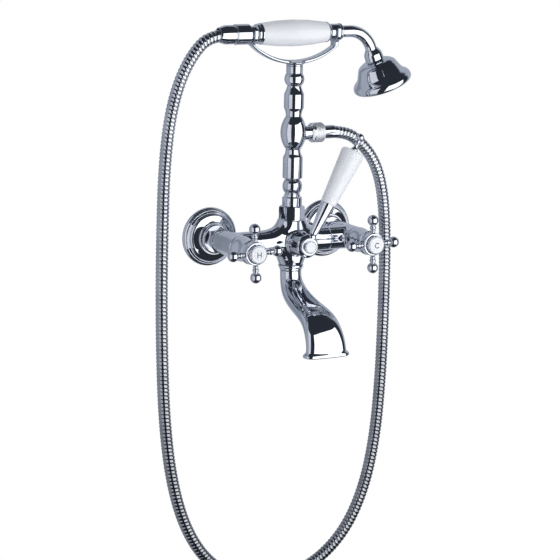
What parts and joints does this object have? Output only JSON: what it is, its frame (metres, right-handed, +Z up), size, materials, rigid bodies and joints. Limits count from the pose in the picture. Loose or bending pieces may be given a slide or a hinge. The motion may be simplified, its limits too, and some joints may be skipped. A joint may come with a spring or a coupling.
{
  "type": "bath mixer with hand shower",
  "caption": "Wall-mounted bath mixer with cross handles, a diverter lever, a swivelling spout, and a column with a cradle that holds a hand shower on a ribbed hose.",
  "frame": {"origin": "midway between the two wall inlets, on the face of the wall", "axes": "+X along the wall to the right as seen from the room, +Y into the wall along the inlets, +Z up along the column"},
  "size_m": [0.3161, 0.1773, 0.6588],
  "materials": {
    "chrome": "polished chrome plate",
    "brass": "machined",
    "porcelain": "glazed white",
    "ceramic": "lapped",
    "rubber": "matte",
    "steel": "plain",
    "plastic": "moulded"
  },
  "bodies": {
    "mixer": {"mixer_body": "chrome", "hot_wall_flange": "chrome", "cold_wall_flange": "chrome", "hot_wall_union": "brass", "cold_wall_union": "brass", "hot_union_nut": "chrome", "cold_union_nut": "chrome", "union_washers": "rubber", "seat_seals": "rubber", "fixed_discs": "ceramic", "hot_headpart": "brass", "cold_headpart": "brass", "hot_bonnet": "chrome", "cold_bonnet": "chrome", "diverter_gland": "chrome", "diverter_seals": "rubber", "column_nut": "chrome", "column_washer": "rubber", "column_stem": "chrome", "hose_outlet": "chrome", "column_top": "chrome", "cradle": "chrome", "outlet_nut": "chrome", "outlet_washer": "rubber", "hose_sleeve": "chrome", "shower_hose": "chrome", "spout_collar": "chrome"},
    "hot_handle": {"hot_moving_disc": "ceramic", "hot_spindle": "brass", "hot_cross_handle": "chrome", "hot_handle_screw": "steel", "hot_index_button": "porcelain"},
    "cold_handle": {"cold_moving_disc": "ceramic", "cold_spindle": "brass", "cold_cross_handle": "chrome", "cold_handle_screw": "steel", "cold_index_button": "porcelain"},
    "diverter_lever": {"diverter_rotor": "brass", "diverter_spindle": "brass", "lever_hub": "chrome", "lever_screw": "steel", "lever_stem": "chrome", "lever_grip": "porcelain", "lever_finial": "chrome", "lever_button": "porcelain"},
    "spout": {"spout_tailpiece": "brass", "spout_seals": "rubber", "spout": "chrome", "outlet_strainer": "plastic"},
    "hand_shower": {"swivel_nut": "chrome", "swivel_washer": "rubber", "rear_ferrule": "chrome", "handset_grip": "porcelain", "front_ferrule": "chrome", "handset_tube": "chrome", "head_nut": "chrome", "head_washer": "rubber", "shower_head": "chrome", "spray_plate": "steel"},
    "hose_cone": {"hose_cone": "chrome"}
  },
  "joints": [
    {"name": "hot_handle_turn", "type": "hinge", "parent": "mixer", "child": "hot_handle", "pos_m": [-0.075, -0.115, 0], "axis": [0, -1, 0], "range_deg": [0, 90]},
    {"name": "cold_handle_turn", "type": "hinge", "parent": "mixer", "child": "cold_handle", "pos_m": [0.075, -0.115, 0], "axis": [0, -1, 0], "range_deg": [0, 90]},
    {"name": "diverter_lever_turn", "type": "hinge", "parent": "mixer", "child": "diverter_lever", "pos_m": [0, -0.098, 0], "axis": [0, -1, 0], "range_deg": [0, 57]},
    {"name": "spout_swivel", "type": "hinge", "parent": "mixer", "child": "spout", "pos_m": [0, -0.06, -0.03], "axis": [0, 0, 1], "range_deg": [-60, 60]},
    {"name": "handset_lift", "type": "slide", "parent": "mixer", "child": "hand_shower", "axis": [0, 0, 1], "range_m": [0, 0.05], "deforming": ["shower_hose"]},
    {"name": "hose_cone_turn", "type": "hinge", "parent": "hand_shower", "child": "hose_cone", "pos_m": [-0.08, -0.06, 0.2359], "axis": [1, 0, 0], "range_deg": [-180, 180]}
  ]
}
